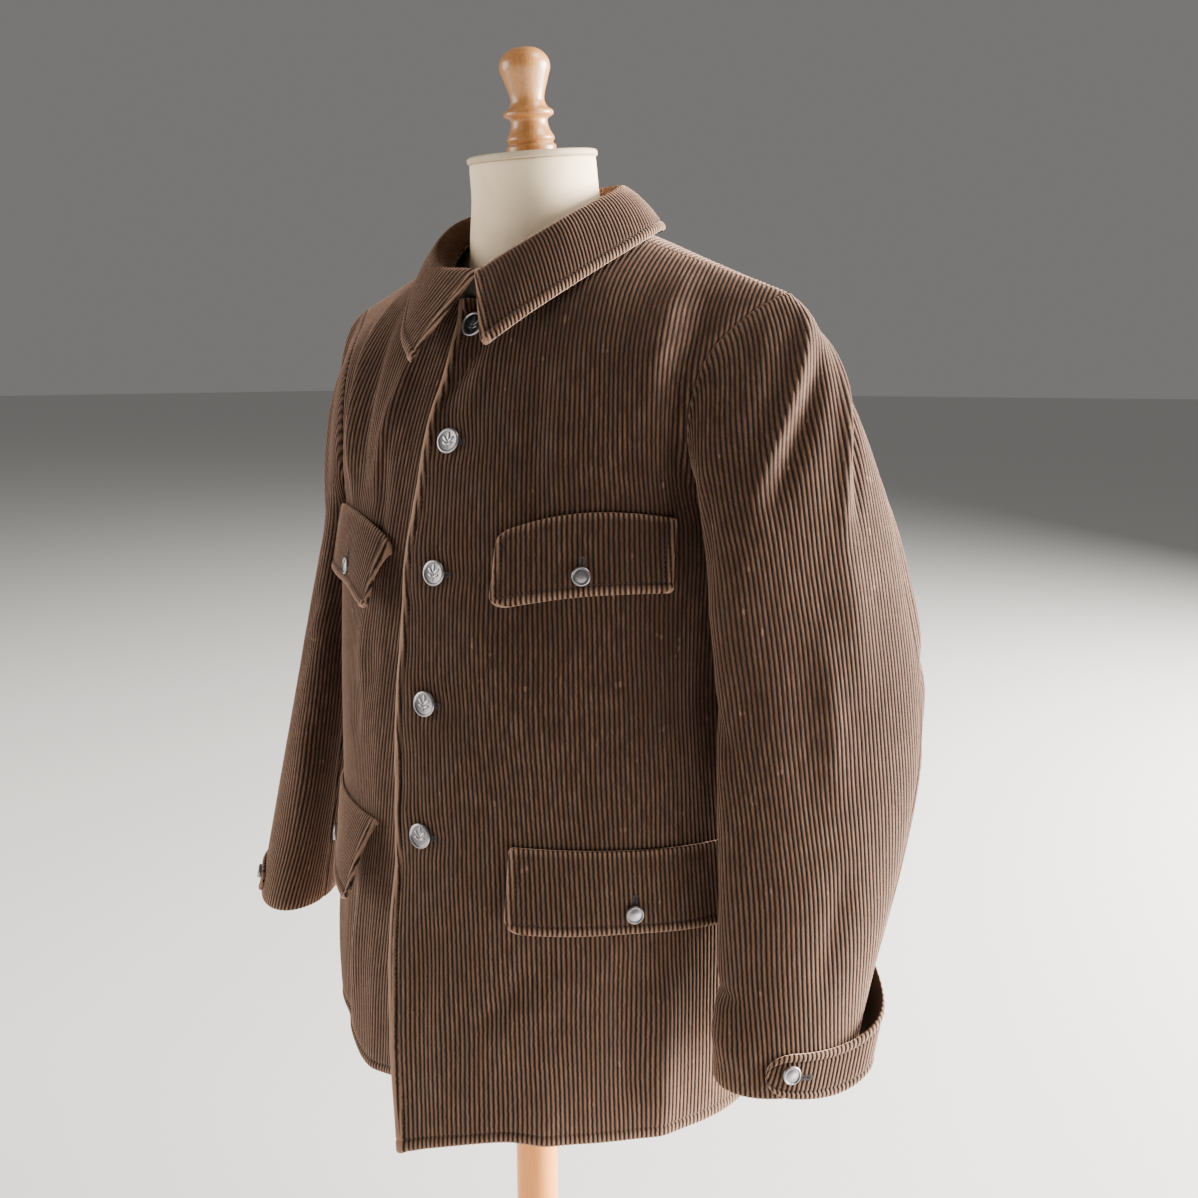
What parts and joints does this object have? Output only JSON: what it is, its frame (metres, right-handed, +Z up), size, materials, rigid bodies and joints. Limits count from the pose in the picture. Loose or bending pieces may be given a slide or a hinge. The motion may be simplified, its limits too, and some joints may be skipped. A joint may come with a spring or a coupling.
{
  "type": "corduroy hunting jacket on a dress form",
  "caption": "Hip-length wide-wale corduroy jacket with turned-down collar, flapped pockets and cuff tabs, buttoned over a limbless dress form on a turned wooden stand.",
  "frame": {"origin": "centre of the base's underside, on the floor", "axes": "+Z up along the pole, -Y towards the jacket's front, +X towards the wearer's left"},
  "size_m": [0.7798, 0.3904, 1.4098],
  "materials": {
    "corduroy": "dark brown wide-wale corduroy, pile worn paler on edges",
    "button_metal": "aged silver-grey metal with darkened recesses",
    "linen": "cream linen, plain weave",
    "plate_wood": "pale beige wood, satin",
    "finial_wood": "light brown turned wood, varnished",
    "pole_wood": "light orange beech, satin"
  },
  "bodies": {
    "root": {"front_left": "corduroy", "front_right": "corduroy", "back": "corduroy", "left_top_sleeve": "corduroy", "left_under_sleeve": "corduroy", "right_top_sleeve": "corduroy", "right_under_sleeve": "corduroy", "collar": "corduroy", "chest_flap_left": "corduroy", "chest_flap_right": "corduroy", "hip_flap_left": "corduroy", "hip_flap_right": "corduroy", "cuff_tab_left": "corduroy", "cuff_tab_right": "corduroy", "front_button_1": "button_metal", "front_button_2": "button_metal", "front_button_3": "button_metal", "front_button_4": "button_metal", "front_button_5": "button_metal", "chest_button_left": "button_metal", "chest_button_right": "button_metal", "hip_button_left": "button_metal", "hip_button_right": "button_metal", "cuff_button_left": "button_metal", "cuff_button_right": "button_metal", "form_torso": "linen", "neck_plate": "plate_wood", "finial": "finial_wood", "pole": "pole_wood", "base": "pole_wood"}
  },
  "joints": []
}
